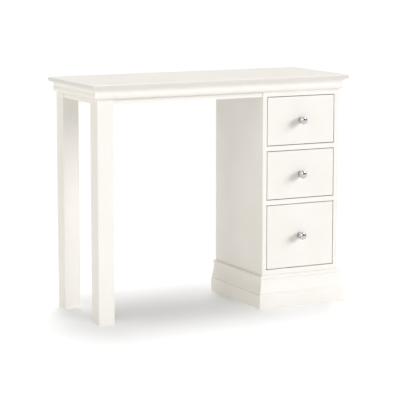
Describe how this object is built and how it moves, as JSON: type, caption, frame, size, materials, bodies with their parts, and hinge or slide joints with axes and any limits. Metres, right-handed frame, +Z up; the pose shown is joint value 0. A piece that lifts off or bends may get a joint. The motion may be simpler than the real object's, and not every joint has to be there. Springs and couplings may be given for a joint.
{
  "type": "miniature dressing table",
  "caption": "Dolls house single-pedestal dressing table: flat moulded top on two square legs and a drawer pedestal with a stepped plinth, flush drawers and round metal knobs, off-white.",
  "frame": {"origin": "on the floor, in the middle of the box that holds the whole table with its knobs", "axes": "+X to the right of someone facing the drawers, +Y to the back, +Z up; the drawers open towards -Y"},
  "size_m": [0.079, 0.032, 0.0655],
  "materials": {
    "painted_wood": "warm off-white satin paint",
    "bare_wood": "bare sanded limewood",
    "bare_board": "bare birch ply, sanded",
    "knob_metal": "polished"
  },
  "bodies": {
    "carcass": {"back_apron": "painted_wood", "back_leg": "painted_wood", "cornice_front": "painted_wood", "cornice_left": "painted_wood", "cornice_right": "painted_wood", "floor_board": "bare_board", "foot_rail": "painted_wood", "front_apron": "painted_wood", "front_leg": "painted_wood", "left_kicker": "bare_wood", "lower_divider_rail": "painted_wood", "lower_shelf": "bare_board", "pedestal_back": "painted_wood", "pedestal_left_side": "painted_wood", "pedestal_right_side": "painted_wood", "plinth_moulding_front": "painted_wood", "plinth_moulding_left": "painted_wood", "plinth_moulding_right": "painted_wood", "right_kicker": "bare_wood", "side_apron": "painted_wood", "skirting_front": "painted_wood", "skirting_left": "painted_wood", "skirting_right": "painted_wood", "top_board": "painted_wood", "top_rail": "painted_wood", "upper_divider_rail": "painted_wood", "upper_shelf": "bare_board"},
    "top_drawer": {"top_drawer_back": "bare_wood", "top_drawer_bottom": "bare_board", "top_drawer_front": "painted_wood", "top_drawer_knob": "knob_metal", "top_drawer_left_side": "bare_wood", "top_drawer_right_side": "bare_wood"},
    "middle_drawer": {"middle_drawer_back": "bare_wood", "middle_drawer_bottom": "bare_board", "middle_drawer_front": "painted_wood", "middle_drawer_knob": "knob_metal", "middle_drawer_left_side": "bare_wood", "middle_drawer_right_side": "bare_wood"},
    "bottom_drawer": {"bottom_drawer_back": "bare_wood", "bottom_drawer_bottom": "bare_board", "bottom_drawer_front": "painted_wood", "bottom_drawer_knob": "knob_metal", "bottom_drawer_left_side": "bare_wood", "bottom_drawer_right_side": "bare_wood"}
  },
  "joints": [
    {"name": "top_drawer_slide", "type": "slide", "parent": "carcass", "child": "top_drawer", "axis": [0, -1, 0], "range_m": [0, 0.02]},
    {"name": "middle_drawer_slide", "type": "slide", "parent": "carcass", "child": "middle_drawer", "axis": [0, -1, 0], "range_m": [0, 0.02]},
    {"name": "bottom_drawer_slide", "type": "slide", "parent": "carcass", "child": "bottom_drawer", "axis": [0, -1, 0], "range_m": [0, 0.02]}
  ]
}
